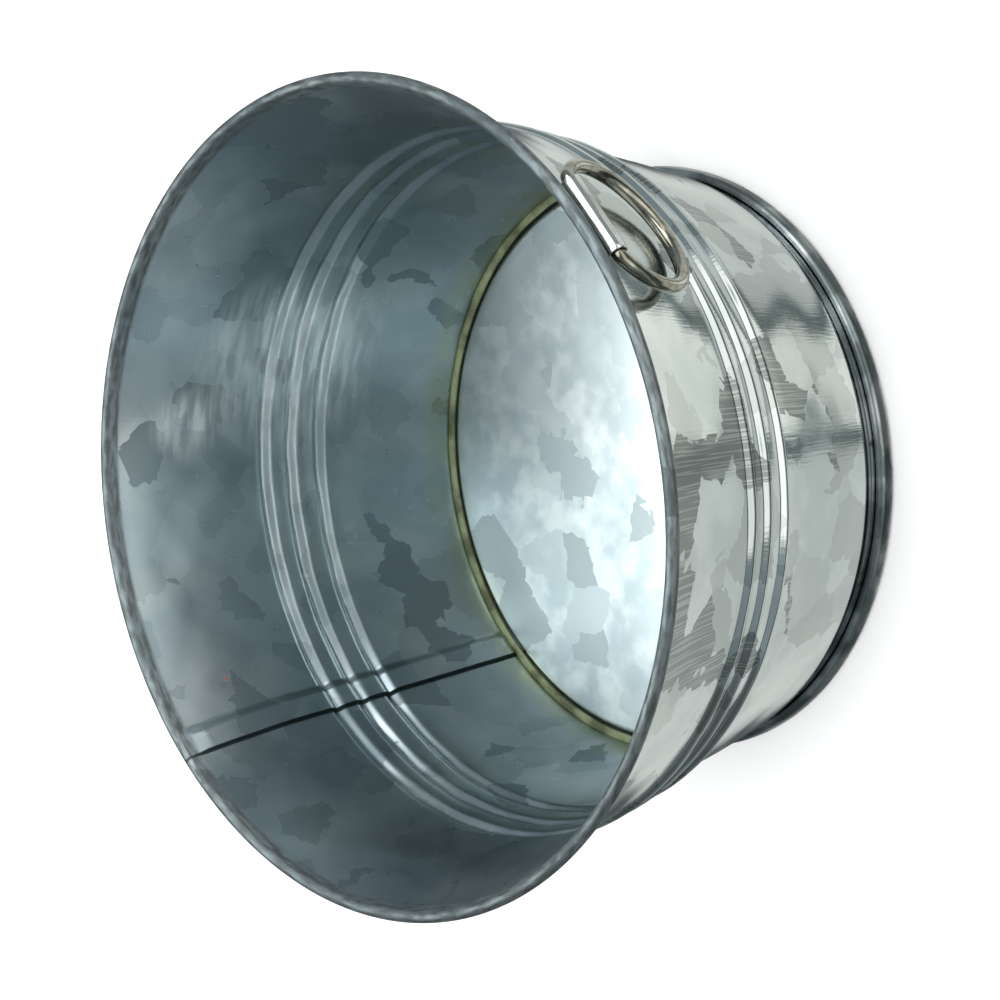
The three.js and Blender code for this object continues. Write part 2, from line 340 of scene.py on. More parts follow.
class Graph:
    """The node graph of one material, from its coordinates to its Principled shader."""

    def __init__(self, name: str) -> None:
        """Start an empty material of that name."""
        self.material = bpy.data.materials.new(name)
        self.material.use_nodes = True
        self.tree = self.material.node_tree
        self.tree.nodes.clear()

    def millimetres(self, on_sheet: bool) -> Link:
        """Give the coordinates that patterns are drawn on, in millimetres.

        Args:
            on_sheet: whether to use the unrolled sheet's map and not the place in the frame.

        Returns:
            Coordinates.
        """
        if on_sheet:
            return add(self.tree, "ShaderNodeUVMap", {"uv_map": SHEET_MAP})
        place = add(self.tree, "ShaderNodeTexCoord").outputs["Object"]
        return add(self.tree, "ShaderNodeVectorMath", {"operation": "SCALE"}, {0: place, "Scale": 1 / MM})

    def clouds(self, mm: Link, size: Place, detail: float = 3) -> Link:
        """Draw cloudy noise whose grains have a size in millimetres along each axis.

        Args:
            mm: coordinates in millimetres.
            size: grain size along each axis.
            detail: number of finer layers.

        Returns:
            A number round 0.5.
        """
        scaled = add(self.tree, "ShaderNodeVectorMath", {"operation": "DIVIDE"}, {0: mm, 1: size})
        inputs = {"Vector": scaled, "Scale": 1.0, "Detail": detail}
        return add(self.tree, "ShaderNodeTexNoise", inputs=inputs)

    def patches(self, mm: Link, size: Place, edge: Pair, share: Pair = (0, 1), detail: float = 3) -> Link:
        """Draw soft patches: cloudy noise, eased from one share to another between two of its levels.

        Args:
            mm: coordinates in millimetres.
            size: grain size along each axis.
            edge: noise levels at which the easing begins and ends.
            share: shares outside and inside the patches.
            detail: number of finer layers.

        Returns:
            A share from 0 to 1.
        """
        inputs = {
            "Value": self.clouds(mm, size, detail),
            "From Min": edge[0],
            "From Max": edge[1],
            "To Min": share[0],
            "To Max": share[1],
        }
        return add(self.tree, "ShaderNodeMapRange", SMOOTH, inputs)

    def coats(self, base: Colour | Link, *layers: tuple[float | Link, Colour | Link]) -> Link:
        """Lay coats of colour one over another.

        Args:
            base: colour under all coats.
            layers: share and colour of each coat, from the lowest to the topmost.

        Returns:
            The resulting colour.
        """
        for share, colour in layers:
            inputs = {Mix.FACTOR: share, Mix.COLOUR_A: base, Mix.COLOUR_B: colour}
            base = add(self.tree, "ShaderNodeMix", {"data_type": "RGBA"}, inputs).outputs[Mix.COLOUR_OUT]
        return base

    def finish(self, base: Colour | Link, roughness: float | Link, height: Link,
               metallic: float | Link = 1.0) -> bpy.types.Material:
        """End the graph in a Principled shader.

        Args:
            base: base colour.
            roughness: roughness.
            height: surface height in millimetres, for the bump.
            metallic: 1 for bare metal, 0 for rust, paint or compound.

        Returns:
            The finished material.
        """
        bump = add(self.tree, "ShaderNodeBump", inputs={"Strength": 1.0, "Distance": MM, "Height": height})
        inputs = {"Base Color": base, "Roughness": roughness, "Metallic": metallic, "Normal": bump}
        shader = add(self.tree, "ShaderNodeBsdfPrincipled", inputs=inputs)
        add(self.tree, "ShaderNodeOutputMaterial", inputs={"Surface": shader})
        return self.material


# ---- Finishes ----

@dataclass(frozen=True)
class RustSpot:
    """A speck where the zinc was nicked and the steel has rusted through."""

    place: Place
    reach: float = 0.45
    colour: str = "#7a3f2c"
    roughness: float = 0.75
    ragged: float = 0.5                 # grain of its ragged edge
    edge: Pair = (0.65, 0.3)            # where its edge begins and ends, past its reach

    def mark(self, graph: Graph, place: Link) -> Link:
        """Mark the spot: the distance from its middle, frayed by noise.

        Args:
            graph: graph that takes the nodes.
            place: place in the frame in millimetres.

        Returns:
            1 in the spot and 0 outside it.
        """
        inputs = {0: place, 1: self.place}
        away = add(graph.tree, "ShaderNodeVectorMath", {"operation": "DISTANCE"}, inputs).outputs["Value"]
        ragged = graph.clouds(place, (self.ragged,) * 3)
        frayed = add(graph.tree, "ShaderNodeMath", {"operation": "ADD"}, {0: away, 1: ragged})
        start, stop = (self.reach + past for past in self.edge)
        inputs = {"Value": frayed, "From Min": start, "From Max": stop}
        return add(graph.tree, "ShaderNodeMapRange", SMOOTH, inputs)


@dataclass(frozen=True)
class RubbedPatch:
    """A patch of bright streaks round the bucket: painted highlight along the beads inside, and sheet that
    the rollers and later use rubbed bright near the rim.
    """

    place: Place
    reach: float
    colour: str = "#f2f7f8"
    streak: Place = (10.0, 1.7, 10.0)
    edge: Pair = (0.36, 0.64)
    share: Pair = (0.25, 0.85)
    core: float = 0.3                   # share of its reach that is bright fully

    def mark(self, graph: Graph, place: Link, mm: Link) -> Link:
        """Mark the patch: streaks on the sheet that fade out with distance from its middle.

        Args:
            graph: graph that takes the nodes.
            place: place in the frame in millimetres.
            mm: coordinates on the unrolled sheet in millimetres.

        Returns:
            Share of the bright colour.
        """
        inputs = {0: place, 1: self.place}
        away = add(graph.tree, "ShaderNodeVectorMath", {"operation": "DISTANCE"}, inputs).outputs["Value"]
        inputs = {"Value": away, "From Min": self.reach, "From Max": self.reach * self.core}
        patch = add(graph.tree, "ShaderNodeMapRange", SMOOTH, inputs)
        streaks = graph.patches(mm, self.streak, self.edge, self.share)
        return add(graph.tree, "ShaderNodeMath", {"operation": "MULTIPLY"}, {0: patch, 1: streaks})


@dataclass(frozen=True)
class SpangledZinc:
    """Hot-dip galvanised sheet: the zinc froze in angular crystals, and rolls drew fine lines across them.

    It gives the eye a bright grey metal broken into light, middle and dark angular flakes; the darkest
    flakes are ruled with the rolling lines, which fray the edge of every reflection.
    """

    name: str
    light: str = "#c8cfcf"
    pale: str = "#b7bfc0"
    middle: str = "#a5acab"
    dark: str = "#7f8787"
    ruled: str = "#b2b8b4"              # rolling lines inside the dark flakes
    dark_share: float = 0.13
    middle_share: float = 0.34
    middle_spread: float = 0.8          # how far the middle flakes range towards the light ones
    flake: float = 8.6                  # mean width of a crystal flake
    notch: float = 2.0                  # size of the steps along a flake's edge
    notch_share: float = 0.42
    line_spacing: float = 0.75          # between rolling lines; real ones are finer, near 0.3
    line_run: float = 20.0
    line_height: float = 0.015
    line_edge: Pair = (0.48, 0.6)
    cloud: float = 14.0                 # size of the soft clouds inside the light flakes
    cloud_edge: Pair = (0.35, 0.65)
    dimple: float = 8.0                 # width of the sheet's shallow dimples
    swell: float = 0.06                 # height of the dimples
    roughness: float = 0.14
    wear: float = 0.1                   # how much the roughness varies
    wear_size: float = 4.0
    dark_dullness: float = 0.1          # how much rougher the dark flakes are

    def flakes(self, graph: Graph, mm: Link) -> tuple[Link, Link]:
        """Draw the flakes: large cells whose edges snap to the corners of small cells.

        Args:
            graph: graph that takes the nodes.
            mm: coordinates in millimetres.

        Returns:
            Two random numbers, each the same all over a flake.
        """
        tree = graph.tree
        small = add(tree, "ShaderNodeTexVoronoi", inputs={"Vector": mm, "Scale": 1 / self.notch})
        inputs = {Mix.FACTOR: self.notch_share, Mix.VECTOR_A: mm, Mix.VECTOR_B: small.outputs["Position"]}
        snapped = add(tree, "ShaderNodeMix", {"data_type": "VECTOR"}, inputs).outputs[Mix.VECTOR_OUT]
        large = add(tree, "ShaderNodeTexVoronoi", inputs={"Vector": snapped, "Scale": 1 / self.flake})
        split = add(tree, "ShaderNodeSeparateColor", inputs={"Color": large.outputs["Color"]})
        return (split.outputs[0], split.outputs[1])

    def colour(self, graph: Graph, mm: Link, ruled: float | Link) -> tuple[Link, Link]:
        """Colour the flakes, and rule the dark ones.

        Args:
            graph: graph that takes the nodes.
            mm: coordinates in millimetres.
            ruled: strength of the ruling.

        Returns:
            The colour, and a mark of the dark flakes.
        """
        tree = graph.tree
        tone, other = self.flakes(graph, mm)
        not_light = self.dark_share + self.middle_share
        is_dark = add(tree, "ShaderNodeMath", {"operation": "LESS_THAN"}, {0: tone, 1: self.dark_share})
        is_middle = add(tree, "ShaderNodeMath", {"operation": "LESS_THAN"}, {0: tone, 1: not_light})
        spread = add(tree, "ShaderNodeMath", {"operation": "MULTIPLY"}, {0: other, 1: self.middle_spread})
        line = (self.line_spacing / 2, self.line_run, self.line_spacing / 2)
        lines = graph.patches(mm, line, self.line_edge, detail=1)
        ruling = add(tree, "ShaderNodeMath", {"operation": "MULTIPLY"}, {0: lines, 1: ruled})
        clouds = graph.patches(mm, (self.cloud,) * 3, self.cloud_edge)
        light = graph.coats(linear(self.light), (clouds, linear(self.pale)))
        middle = graph.coats(linear(self.middle), (spread, light))
        dark = graph.coats(linear(self.dark), (ruling, linear(self.ruled)))
        return (graph.coats(light, (is_middle, middle), (is_dark, dark)), is_dark)

    def surface(self, graph: Graph, mm: Link, is_dark: Link) -> tuple[Link, Link]:
        """Give the sheet its gloss and its relief.

        Args:
            graph: graph that takes the nodes.
            mm: coordinates in millimetres.
            is_dark: mark of the dark flakes.

        Returns:
            Roughness and height.
        """
        tree = graph.tree
        worn = graph.clouds(mm, (self.wear_size,) * 3)
        inputs = {0: worn, 1: self.wear, 2: self.roughness - self.wear / 2}
        roughness = add(tree, "ShaderNodeMath", {"operation": "MULTIPLY_ADD"}, inputs)
        inputs = {0: is_dark, 1: self.dark_dullness, 2: roughness}
        roughness = add(tree, "ShaderNodeMath", {"operation": "MULTIPLY_ADD"}, inputs)
        # The relief's lines are finer and shorter than the ruled ones.
        line = (self.line_spacing / 1.6, self.line_run / 3, self.line_spacing / 1.6)
        lines = graph.clouds(mm, line, 2)
        height = add(tree, "ShaderNodeMath", {"operation": "MULTIPLY"}, {0: lines, 1: self.line_height})
        inputs = {0: graph.clouds(mm, (self.dimple,) * 3, 0), 1: self.swell, 2: height}
        height = add(tree, "ShaderNodeMath", {"operation": "MULTIPLY_ADD"}, inputs)
        return (roughness, height)


@dataclass(frozen=True)
class StandingPanZinc(SpangledZinc):
    """The same zinc on the pressed pan, with painted shade darkening its foot bead in patches."""

    ruling: float = 0.3
    tarnish: str = "#4f5657"
    tarnish_size: Place = (6.0, 6.0, 2.0)
    tarnish_edge: Pair = (0.35, 0.65)
    tarnish_share: Pair = (0.6, 0.95)
    foot_top: float = 4.6
    foot_fade: float = 0.6

    def build(self) -> bpy.types.Material:
        """Build the finish on the place in the frame, with painted shade below the top of the foot bead.

        Returns:
            The finished material.
        """
        graph = Graph(self.name)
        mm = graph.millimetres(False)
        base, is_dark = self.colour(graph, mm, self.ruling)
        roughness, height = self.surface(graph, mm, is_dark)
        level = add(graph.tree, "ShaderNodeSeparateXYZ", inputs={0: mm}).outputs[2]
        inputs = {"Value": level, "From Min": self.foot_top, "From Max": self.foot_top - self.foot_fade}
        foot = add(graph.tree, "ShaderNodeMapRange", SMOOTH, inputs)
        # painted shade: patchy darkening of the foot bead and hem below the foot's top
        patchy = graph.patches(mm, self.tarnish_size, self.tarnish_edge, self.tarnish_share)
        share = add(graph.tree, "ShaderNodeMath", {"operation": "MULTIPLY"}, {0: foot, 1: patchy})
        return graph.finish(graph.coats(base, (share, linear(self.tarnish))), roughness, height)


@dataclass(frozen=True)
class UsedWallZinc(SpangledZinc):
    """The same zinc on the rolled wall, whose map unrolls the sheet, with the marks of its making and use.

    The inside is duller than the outside and carries patchy painted shade, darker and bluer; painted
    highlights streak the beads inside and a patch near the rim is rubbed bright;
    the rim curl is dulled by handling, dirt and painted shade darken the side seam, water and compound have
    stained the sheet above the floor, and a nick or two has rusted.
    """

    ruling: float = 0.62                # on the outside; the inside's lines are worn away
    inside_roughness: float = 0.29
    film: str = "#7f949f"               # painted shade, darker and bluer, on the inside
    film_size: Place = (18.0, 30.0, 18.0)
    film_share: Pair = (0.25, 0.65)
    stain: str = "#a3ab88"
    stain_top: float = 16.0
    stain_bottom: float = 9.0
    stain_size: Place = (9.0, 5.0, 9.0)
    stain_share: Pair = (0.2, 0.7)
    # dirt and painted shade along the seam's sharp step
    dirt: str = "#3c4546"
    dirt_outside: float = 0.45
    dirt_inside: float = 0.5            # further share of the dirt and painted shade on the inside
    handled: str = "#666c6c"
    handled_size: Place = (3.0, 0.8, 3.0)
    handled_edge: Pair = (0.35, 0.65)
    handled_share: Pair = (0.5, 1)
    handled_dullness: float = 0.26
    rim_bottom: float = 69.6
    rim_fade: float = 0.8
    soft_edge: Pair = (0.3, 0.7)        # noise levels between which the painted inside shade and the stain fade
    seam_turn: float = 377.0            # length of the map round the wall
    dirt_before: Pair = (0.4, 0.15)     # distance past the seam's edge at which the dirt and painted shade fade out
    dirt_after: Pair = (0.3, 0.1)       # the same on its other side
    spots: tuple[RustSpot, ...] = ()
    # bright streaks: painted highlights on the beads inside, and sheet rubbed bright near the rim
    rubs: tuple[RubbedPatch, ...] = ()

    def build(self) -> bpy.types.Material:
        """Build the finish on the unrolled sheet.

        Returns:
            The finished material.
        """
        graph = Graph(self.name)
        tree = graph.tree
        mm = graph.millimetres(True)
        place = graph.millimetres(False)
        parts = add(tree, "ShaderNodeSeparateXYZ", inputs={0: mm}).outputs
        level = add(tree, "ShaderNodeSeparateXYZ", inputs={0: place}).outputs[2]
        inputs = {0: parts[1], 1: INSIDE_FROM}
        inside = add(tree, "ShaderNodeMath", {"operation": "GREATER_THAN"}, inputs)
        settings = {"operation": "SUBTRACT", "use_clamp": True}
        ruled = add(tree, "ShaderNodeMath", settings, {0: self.ruling, 1: inside})
        base, is_dark = self.colour(graph, mm, ruled)
        roughness, height = self.surface(graph, mm, is_dark)
        rim = add(tree, "ShaderNodeMapRange", SMOOTH, {
            "Value": level, "From Min": self.rim_bottom, "From Max": self.rim_bottom + self.rim_fade,
        })
        low = add(tree, "ShaderNodeMapRange", SMOOTH, {
            "Value": level, "From Min": self.stain_top, "From Max": self.stain_bottom,
        })
        # painted shade: patchy darker, bluer colour over the inside
        film = graph.patches(mm, self.film_size, self.soft_edge, self.film_share)
        stain = graph.patches(mm, self.stain_size, self.soft_edge, self.stain_share)
        stain = add(tree, "ShaderNodeMath", {"operation": "MULTIPLY"}, {0: stain, 1: low})
        # bright streaks on the inside: painted highlights along the beads, and sheet rubbed bright near the
        # rim
        rubs = [(rub.mark(graph, place, mm), rub.colour) for rub in self.rubs]
        for mark, colour in ((film, self.film), *rubs, (stain, self.stain)):
            share = add(tree, "ShaderNodeMath", {"operation": "MULTIPLY"}, {0: mark, 1: inside})
            base = graph.coats(base, (share, linear(colour)))
        handled = graph.patches(mm, self.handled_size, self.handled_edge, self.handled_share)
        handled = add(tree, "ShaderNodeMath", {"operation": "MULTIPLY"}, {0: handled, 1: rim})
        # dirt and painted shade darken the seam's sharp step
        dirt = self.seam_dirt(graph, parts[0], inside)
        base = graph.coats(base, (handled, linear(self.handled)), (dirt, linear(self.dirt)))
        for mark, duller in ((inside, self.inside_roughness - self.roughness), (rim, self.handled_dullness)):
            inputs = {0: mark, 1: duller, 2: roughness}
            roughness = add(tree, "ShaderNodeMath", {"operation": "MULTIPLY_ADD"}, inputs)
        metallic: float | Link = 1.0
        for spot in self.spots:
            mark = spot.mark(graph, place)
            base = graph.coats(base, (mark, linear(spot.colour)))
            rough = add(tree, "ShaderNodeMath", {"operation": "MULTIPLY"}, {0: mark, 1: spot.roughness})
            roughness = add(tree, "ShaderNodeMath", {"operation": "MAXIMUM"}, {0: roughness, 1: rough})
            metallic = add(tree, "ShaderNodeMath", {"operation": "SUBTRACT"}, {0: metallic, 1: mark})
        return graph.finish(base, roughness, height, metallic)

    def seam_dirt(self, graph: Graph, around: Link, inside: Link) -> Link:
        """Mark the dirt and painted shade along the seam's sharp step, where the map begins and ends.

        Args:
            graph: graph that takes the nodes.
            around: distance round the map.
            inside: mark of the inside face.

        Returns:
            Strength of the dirt and painted shade.
        """
        tree = graph.tree
        ends = tuple(self.seam_turn - distance for distance in self.dirt_after)
        before, after = (
            add(tree, "ShaderNodeMapRange", SMOOTH, {"Value": around, "From Min": start, "From Max": stop})
            for start, stop in (self.dirt_before, ends)
        )
        line = add(tree, "ShaderNodeMath", {"operation": "MAXIMUM"}, {0: before, 1: after})
        inputs = {0: inside, 1: self.dirt_inside, 2: self.dirt_outside}
        share = add(tree, "ShaderNodeMath", {"operation": "MULTIPLY_ADD"}, inputs)
        return add(tree, "ShaderNodeMath", {"operation": "MULTIPLY"}, {0: line, 1: share})


@dataclass(frozen=True)
class DrawnSteel:
    """Bright steel wire pulled through a die: warm dark grey, with faint scratches along its length."""

    name: str
    colour: str = "#a6a497"
    worn: str = "#7a786c"
    worn_size: float = 2.5
    worn_edge: Pair = (0.35, 0.7)
    roughness: float = 0.15
    scratch: float = 0.5
    scratch_depth: float = 0.16         # how much the roughness varies
    relief: float = 1.6
    relief_height: float = 0.012

    def build(self) -> bpy.types.Material:
        """Build the material.

        Returns:
            The finished material.
        """
        graph = Graph(self.name)
        mm = graph.millimetres(False)
        worn = graph.patches(mm, (self.worn_size,) * 3, self.worn_edge)
        base = graph.coats(linear(self.colour), (worn, linear(self.worn)))
        scratch = graph.clouds(mm, (self.scratch,) * 3, 2)
        inputs = {0: scratch, 1: self.scratch_depth, 2: self.roughness - self.scratch_depth / 2}
        roughness = add(graph.tree, "ShaderNodeMath", {"operation": "MULTIPLY_ADD"}, inputs)
        inputs = {0: graph.clouds(mm, (self.relief,) * 3, 1), 1: self.relief_height}
        height = add(graph.tree, "ShaderNodeMath", {"operation": "MULTIPLY"}, inputs)
        return graph.finish(base, roughness, height)


@dataclass(frozen=True)
class PlatedStrip:
    """Nickel-plated strip rolled into a tube: near-mirror bright, with a few dull patches rubbed by the
    rolls.
    """

    name: str
    colour: str = "#d2d3d0"
    rubbed: str = "#a7a8a4"
    rub: Place = (0.7, 4.0, 0.7)
    rub_edge: Pair = (0.45, 0.72)
    rub_dullness: float = 0.16
    roughness: float = 0.1
    relief: Place = (1.5, 5.0, 1.5)
    relief_height: float = 0.02

    def build(self) -> bpy.types.Material:
        """Build the material.

        Returns:
            The finished material.
        """
        graph = Graph(self.name)
        mm = graph.millimetres(False)
        rub = graph.patches(mm, self.rub, self.rub_edge)
        base = graph.coats(linear(self.colour), (rub, linear(self.rubbed)))
        inputs = {0: rub, 1: self.rub_dullness, 2: self.roughness}
        roughness = add(graph.tree, "ShaderNodeMath", {"operation": "MULTIPLY_ADD"}, inputs)
        inputs = {0: graph.clouds(mm, self.relief, 1), 1: self.relief_height}
        height = add(graph.tree, "ShaderNodeMath", {"operation": "MULTIPLY"}, inputs)
        return graph.finish(base, roughness, height)


@dataclass(frozen=True)
class SealingCompound:
    """Latex can-sealing compound run into the corner wet: a dull olive bead with drips and dirt in it."""

    name: str
    colour: str = "#7f8a68"
    dirty: str = "#4c5439"
    dirt_size: float = 5.0
    dirt_edge: Pair = (0.38, 0.66)
    dirt_dullness: float = 0.2
    roughness: float = 0.5
    drip: float = 1.4
    drip_height: float = 0.06

    def build(self) -> bpy.types.Material:
        """Build the material.

        Returns:
            The finished material.
        """
        graph = Graph(self.name)
        mm = graph.millimetres(False)
        dirt = graph.patches(mm, (self.dirt_size,) * 3, self.dirt_edge)
        base = graph.coats(linear(self.colour), (dirt, linear(self.dirty)))
        inputs = {0: dirt, 1: self.dirt_dullness, 2: self.roughness}
        roughness = add(graph.tree, "ShaderNodeMath", {"operation": "MULTIPLY_ADD"}, inputs)
        inputs = {0: graph.clouds(mm, (self.drip,) * 3), 1: self.drip_height}
        height = add(graph.tree, "ShaderNodeMath", {"operation": "MULTIPLY"}, inputs)
        return graph.finish(base, roughness, height, 0.0)


# ---- Wall ----

@dataclass
class Wall:
    """The flared, beaded wall in one sheet, from the hook in the foot bead to the wired rim."""

    rim_radius: float                   # outside of the rim curl
    rim_top: float                      # top of the rim curl
    sheet: float = 0.4
    wire_diameter: float = 1.2
    wire_play: float = 0.1
    curl_end: float = -125.0
    cone_bottom: float = 7.6
    cone_radius: float = 49.9           # centre line of the cone at its bottom
    cone_slope: float = 0.26
    flare_start: float = 46.0
    flare_slope: float = 0.235
    bead_heights: tuple[float, ...] = (33.5, 38.95, 43.85)
    bead_width: float = 3.2
    bead_rise: float = 0.9
    bead_fill: float = 0.28             # how much shallower a bead is inside than outside, where zinc pooled
    neck_radius: float = 48.5
    neck_top: float = 4.4
    hook_height: float = 2.2
    hook_radius: float = 0.5
    hook_length: float = 0.3
    seam_angle: float = 182.15          # of the seam's sharp edge, halfway up the wall
    seam_skew: float = -0.04            # sideways run of the seam for each unit of height
    seam_width: float = 5.6
    seam_flat: float = 3.6              # width of the seam's flat top, from its sharp edge
    seam_rise: float = 0.6
    seam_hold: Pair = (0.15, 0.7)       # turn from the seam over which its skew dies away, in radians
    seam_foot: Pair = (7.0, 8.0)        # heights over which the seam's layers rise out of the neck
    seam_crease: float = 0.16
    seam_groove: float = 0.14           # depth of the seam's groove on the outside
    groove_width: float = 0.45
    seam_nick: float = 0.28             # depth of the nick where the seam ends in the rim curl
    nick_place: float = 0.1             # distance of the nick from the seam's sharp edge
    nick_width: float = 0.3
    rim_edge: Pair = (69.4, 70.4)       # heights over which the open wall becomes the rim curl
    swell_low: float = 14.0             # height above which the wall swells in full
    swell_high: Pair = (62.0, 70.0)     # heights over which the swell dies away
    map_radius: float = 60.0            # radius at which the unrolled sheet has its true width
    columns: int = 340
    wall_waves: tuple[Wave, ...] = (
        (0.055, 5, 0.21, 0.4), (0.045, 9, 0.33, 1.9), (0.03, 17, 0.52, 3.1), (0.02, 29, 0.8, 5.2),
    )
    bead_waves: tuple[Wave, ...] = ((0.07, 8, 0.5, 0.7), (0.05, 15, 1.1, 2.6), (0.035, 34, 1.7, 4.9))

    def __post_init__(self) -> None:
        """Work out the rim curl's radii and centre."""
        self.curl_radius = self.wire_diameter / 2 + self.wire_play + self.sheet / 2
        reach = self.curl_radius + self.sheet / 2
        self.curl_centre = (self.rim_radius - reach, self.rim_top - reach)

    def plain_radius(self, height: Array) -> Array:
        """Centre line radius without beads: a straight cone, then a parabola up to the curl.

        Args:
            height: heights above the foot.

        Returns:
            Radii.
        """
        cone = self.cone_radius + self.cone_slope * (height - self.cone_bottom)
        start = self.cone_radius + self.cone_slope * (self.flare_start - self.cone_bottom)
        rise = self.curl_centre[1] - self.flare_start
        reach = self.curl_centre[0] - self.curl_radius - start
        bend = (reach - self.flare_slope * rise) / rise ** 2
        up = height - self.flare_start
        return np.where(up <= 0, cone, start + self.flare_slope * up + bend * up ** 2)

    def bead_swell(self, height: Array) -> Array:
        """Outward swell of the beads: one raised cosine for each.

        Args:
            height: heights above the foot.

        Returns:
            Swell of the radius.
        """
        swell = np.zeros_like(height)
        for middle in self.bead_heights:
            share = np.clip(np.abs(height - middle) / (self.bead_width / 2), 0, 1)
            swell = np.maximum(swell, self.bead_rise * (1 + np.cos(np.pi * share)) / 2)
        return swell

    def heights(self) -> Array:
        """Heights of the wall's rows: close together over the beads, wider apart on plain sheet."""
        top = self.curl_centre[1] - self.curl_radius * 1.2
        half = self.bead_width / 2
        beads = [middle + np.linspace(-half, half, 15) for middle in self.bead_heights]
        plain = [
            np.linspace(self.cone_bottom, self.bead_heights[0] - half, 12),
            np.linspace(self.bead_heights[-1] + half, top, 18),
        ]
        return np.unique(np.round(np.concatenate(plain + beads), 4))

    def neck(self) -> Array:
        """Centre line of the neck: a cubic curve from the straight skirt out to the foot of the cone."""
        pull = (self.cone_bottom - self.neck_top) / 2
        t = np.linspace(0, 1, 12)[:-1, None]
        points = np.array([
            [self.neck_radius, self.neck_top],
            [self.neck_radius, self.neck_top + pull],
            [self.cone_radius - self.cone_slope * pull, self.cone_bottom - pull],
            [self.cone_radius, self.cone_bottom],
        ])
        weights = np.hstack([(1 - t) ** 3, 3 * t * (1 - t) ** 2, 3 * t ** 2 * (1 - t), t ** 3])
        return weights @ points

    def centre_line(self) -> Array:
        """Whole centre line: hooked edge, neck, cone, beads, flare and curl.

        Returns:
            Radius and height of each point, from the hook up.
        """
        hook_centre = (self.neck_radius + self.hook_radius, self.hook_height)
        hook_bottom = self.hook_height - self.hook_radius
        hook = [[hook_centre[0] + self.hook_length, hook_bottom], [hook_centre[0], hook_bottom]]
        height = self.heights()
        body = np.column_stack([self.plain_radius(height) + self.bead_swell(height), height])
        curl = arc(self.curl_centre, self.curl_radius, 180, self.curl_end, 22)
        bend = arc(hook_centre, self.hook_radius, -90, -180, 4)
        return np.vstack([hook, bend, self.neck(), body, curl])

    def turns(self) -> Array:
        """Angles of the columns from the seam's sharp edge, finest at its step and close over its band."""
        across = np.concatenate([
            np.arange(-0.6, 0.36, 0.04),
            np.arange(0.4, 3.5, 0.5),
            np.arange(3.5, 6.8, 0.25),
            [-3, -2, -1],
        ])
        near = -across / self.map_radius
        near = np.where(near < 0, near + 2 * np.pi, near)
        even = np.linspace(0.06, 2 * np.pi - 0.12, self.columns)
        return np.unique(np.round(np.concatenate([even, near]), 6))

    def seam_height(self, across: Array) -> Array:
        """How far the inside face stands in at the side seam.

        The folded layers rise at a sharp edge, run flat and ease back down; a crease runs beside the edge.

        Args:
            across: distance from the sharp edge, positive over the layers.

        Returns:
            Rise into the bucket.
        """
        layers = smooth_step(across, 0, 0.12) * (1 - smooth_step(across, self.seam_flat, self.seam_width))
        crease = smooth_step(across, -0.45, -0.2) * (1 - smooth_step(across, -0.08, 0))
        return self.seam_rise * layers - self.seam_crease * crease

    def build(self) -> bpy.types.Object:
        """Carry the sheet's section round the axis, with swells, the side seam and the nick at the rim.

        Returns:
            The wall.
        """
        line = self.centre_line()
        loop = sheet_loop(line, self.sheet)
        normal = right_normals(line)
        normal = np.vstack([normal, normal[::-1]])[:, None, :]
        inner = np.repeat([0.0, 1.0], len(line))[:, None]
        turn = self.turns()[None, :]
        signed = np.where(turn < np.pi, turn, turn - 2 * np.pi)
        radius, height = loop[:, None, 0], loop[:, None, 1]
        hold = 1 - smooth_step(np.abs(signed), *self.seam_hold)
        skew = self.seam_skew * (height - self.rim_top / 2) / radius * hold
        angle = np.radians(self.seam_angle) + turn + signed * (self.map_radius / radius - 1) * hold + skew
        across = -signed * self.map_radius
        open_wall = smooth_step(height, self.cone_bottom, self.swell_low)
        open_wall = open_wall * (1 - smooth_step(height, *self.swell_high))
        swell = ripple(angle, height, self.wall_waves) * open_wall
        bead = self.bead_swell(np.concatenate([line[:, 1], line[::-1, 1]]))[:, None] / self.bead_rise
        swell = swell + bead * (ripple(angle, height, self.bead_waves) - self.bead_fill * inner)
        below_rim = 1 - smooth_step(height, *self.rim_edge)
        stand_in = self.seam_height(across) * inner * below_rim * smooth_step(height, *self.seam_foot)
        groove = self.seam_groove * np.exp(-(across / self.groove_width) ** 2) * (1 - inner) * below_rim
        from_nick = (across - self.nick_place) / self.nick_width
        nick = self.seam_nick * np.exp(-from_nick ** 2) * (1 - below_rim)
        shift = swell - stand_in - (groove + nick * (1 - inner))
        section = loop[:, None, :] + normal * shift[..., None]
        return Grid(revolve(section, angle), self.sheet_map(line, turn[0])).build("galvanised_wall")

    def sheet_map(self, line: Array, turn: Array) -> Array:
        """Unroll the sheet: the turn times the map's radius across, the length of the section along.

        Args:
            line: the section's centre line.
            turn: angles of the columns.

        Returns:
            Map points in millimetres, with the inside face's shifted.
        """
        length = run_length(np.vstack([line, line[-1:] + self.sheet, line[::-1], line[:1] + self.sheet]))
        rows = np.concatenate([length[:len(line)], length[len(line) + 1:]])
        rows = rows + np.repeat([0.0, INSIDE_OFFSET], [len(line), len(rows) - len(line)])
        columns = np.append(turn, 2 * np.pi + turn[0]) * self.map_radius
        return np.stack(np.broadcast_arrays(columns[None, :], rows[:, None]), -1)

    def build_wire(self) -> bpy.types.Object:
        """Carry the rim wire's round section round the axis.

        Returns:
            The rim wire.
        """
        section = arc(self.curl_centre, self.wire_diameter / 2, 0, 360, 20)
        return Grid(revolve(section, np.linspace(0, 2 * np.pi, 241)[None, :-1])).build("rim_stiffening_wire")

